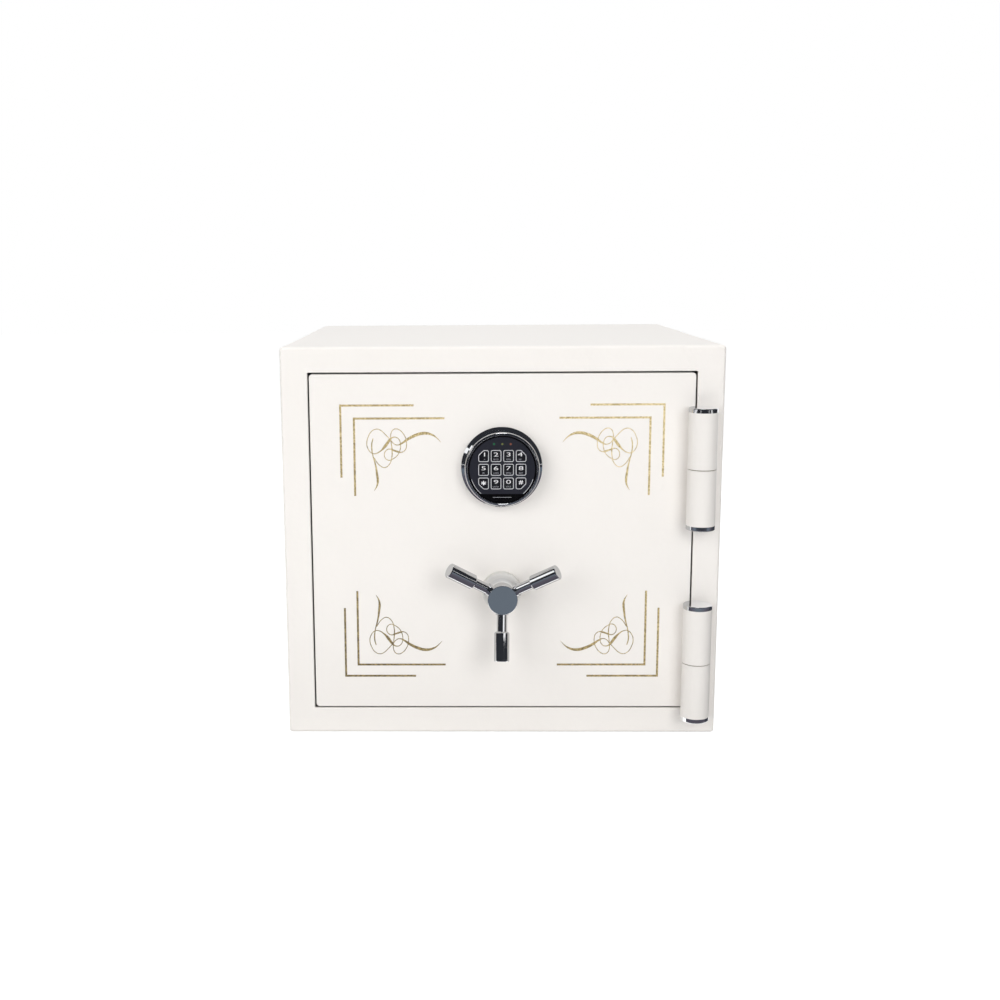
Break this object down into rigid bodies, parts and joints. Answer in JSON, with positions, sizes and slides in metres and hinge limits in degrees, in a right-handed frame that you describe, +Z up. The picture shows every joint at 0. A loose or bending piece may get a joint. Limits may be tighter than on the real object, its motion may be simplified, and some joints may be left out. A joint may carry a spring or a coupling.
{
  "type": "in room safe",
  "caption": "Cream front-opening in-room safe with two barrel hinges, three-spoke chrome handle, round keypad, live bolts and a shelf.",
  "frame": {"origin": "centre of the four anchor holes, on the underside of the cabinet", "axes": "+Z up, the door faces -Y, hinges on the +X side"},
  "size_m": [0.54, 0.5826, 0.49],
  "materials": {
    "cream_paint": "satin wrinkle",
    "inner_paint": "satin",
    "trim_paint": "satin",
    "fill_board": "matte",
    "hard_steel": "matte",
    "chrome": "polished",
    "zinc_steel": "satin",
    "brass_washer": "satin",
    "carpet": "matte",
    "seal": "matte",
    "pale_rose": "polished",
    "slate_plastic": "satin",
    "black_plastic": "gloss",
    "base_plastic": "matte",
    "led_lens": "clear tinted",
    "board_green": "satin",
    "cell_wrap": "satin",
    "lead_pvc": "satin",
    "key_plastic": "satin"
  },
  "bodies": {
    "cabinet": {"outer_casing": "cream_paint", "front_frame": "cream_paint", "rear_panel": "cream_paint", "wall_fill": "fill_board", "inner_liner": "inner_paint", "anchor_sleeves": "zinc_steel", "floor_mat": "carpet", "shelf": "inner_paint", "shelf_clips": "zinc_steel", "hinge_body_knuckles": "cream_paint", "hinge_pins": "zinc_steel", "hinge_washers": "brass_washer", "hinge_caps_lower": "chrome"},
    "door": {"door_skin": "cream_paint", "door_fill": "fill_board", "hardplate": "hard_steel", "door_back_pan": "cream_paint", "fire_seal": "seal", "hinge_door_knuckles": "cream_paint", "hinge_caps_upper": "chrome", "spindle_sleeve": "zinc_steel", "bolt_box": "trim_paint", "bolt_guides": "base_plastic", "dog_bolts": "chrome", "carriage_posts": "zinc_steel", "boltwork_screws": "zinc_steel", "door_trim": "trim_paint", "trim_screws": "zinc_steel", "handle_escutcheon": "pale_rose", "keypad_base": "base_plastic", "keypad_bezel": "chrome", "keypad_surround": "black_plastic", "keypad_fascia": "slate_plastic", "led_lenses": "led_lens", "keypad_board": "board_green", "keypad_cells": "cell_wrap", "keypad_lead": "lead_pvc", "lock_case": "zinc_steel"},
    "handle": {"handle_hub": "chrome", "handle_spokes": "chrome", "handle_grips": "chrome", "handle_spindle": "zinc_steel", "drive_cam": "zinc_steel", "set_screws": "hard_steel"},
    "carriage": {"bolt_carriage": "zinc_steel", "live_bolts": "chrome", "bolt_screws": "zinc_steel"},
    "lock_bolt": {"lock_bolt": "brass_washer"},
    "key_1": {"key_1": "key_plastic"},
    "key_2": {"key_2": "key_plastic"},
    "key_3": {"key_3": "key_plastic"},
    "key_4": {"key_4": "key_plastic"},
    "key_5": {"key_5": "key_plastic"},
    "key_6": {"key_6": "key_plastic"},
    "key_7": {"key_7": "key_plastic"},
    "key_8": {"key_8": "key_plastic"},
    "key_star": {"key_star": "key_plastic"},
    "key_9": {"key_9": "key_plastic"},
    "key_0": {"key_0": "key_plastic"},
    "key_hash": {"key_hash": "key_plastic"}
  },
  "joints": [
    {"name": "door_hinge", "type": "hinge", "parent": "cabinet", "child": "door", "pos_m": [0.241, -0.2785, 0.221], "axis": [0, 0, 1], "range_deg": [0, 180]},
    {"name": "handle_turn", "type": "hinge", "parent": "door", "child": "handle", "pos_m": [0, -0.3, 0.187], "axis": [0, 1, 0], "range_deg": [0, 60]},
    {"name": "bolt_slide", "type": "slide", "parent": "door", "child": "carriage", "axis": [-1, 0, 0], "range_m": [0, 0.028]},
    {"name": "lock_bolt_slide", "type": "slide", "parent": "door", "child": "lock_bolt", "axis": [0, 0, -1], "range_m": [0, 0.01]},
    {"name": "key_1_press", "type": "slide", "parent": "door", "child": "key_1", "axis": [0, 1, 0], "range_m": [0, 0.0008], "stiffness_N_per_m": 600},
    {"name": "key_2_press", "type": "slide", "parent": "door", "child": "key_2", "axis": [0, 1, 0], "range_m": [0, 0.0008], "stiffness_N_per_m": 600},
    {"name": "key_3_press", "type": "slide", "parent": "door", "child": "key_3", "axis": [0, 1, 0], "range_m": [0, 0.0008], "stiffness_N_per_m": 600},
    {"name": "key_4_press", "type": "slide", "parent": "door", "child": "key_4", "axis": [0, 1, 0], "range_m": [0, 0.0008], "stiffness_N_per_m": 600},
    {"name": "key_5_press", "type": "slide", "parent": "door", "child": "key_5", "axis": [0, 1, 0], "range_m": [0, 0.0008], "stiffness_N_per_m": 600},
    {"name": "key_6_press", "type": "slide", "parent": "door", "child": "key_6", "axis": [0, 1, 0], "range_m": [0, 0.0008], "stiffness_N_per_m": 600},
    {"name": "key_7_press", "type": "slide", "parent": "door", "child": "key_7", "axis": [0, 1, 0], "range_m": [0, 0.0008], "stiffness_N_per_m": 600},
    {"name": "key_8_press", "type": "slide", "parent": "door", "child": "key_8", "axis": [0, 1, 0], "range_m": [0, 0.0008], "stiffness_N_per_m": 600},
    {"name": "key_star_press", "type": "slide", "parent": "door", "child": "key_star", "axis": [0, 1, 0], "range_m": [0, 0.0008], "stiffness_N_per_m": 600},
    {"name": "key_9_press", "type": "slide", "parent": "door", "child": "key_9", "axis": [0, 1, 0], "range_m": [0, 0.0008], "stiffness_N_per_m": 600},
    {"name": "key_0_press", "type": "slide", "parent": "door", "child": "key_0", "axis": [0, 1, 0], "range_m": [0, 0.0008], "stiffness_N_per_m": 600},
    {"name": "key_hash_press", "type": "slide", "parent": "door", "child": "key_hash", "axis": [0, 1, 0], "range_m": [0, 0.0008], "stiffness_N_per_m": 600}
  ],
  "couplings": [
    {"joint": "bolt_slide", "follows": "handle_turn", "m_per_rad": 0.026738}
  ]
}
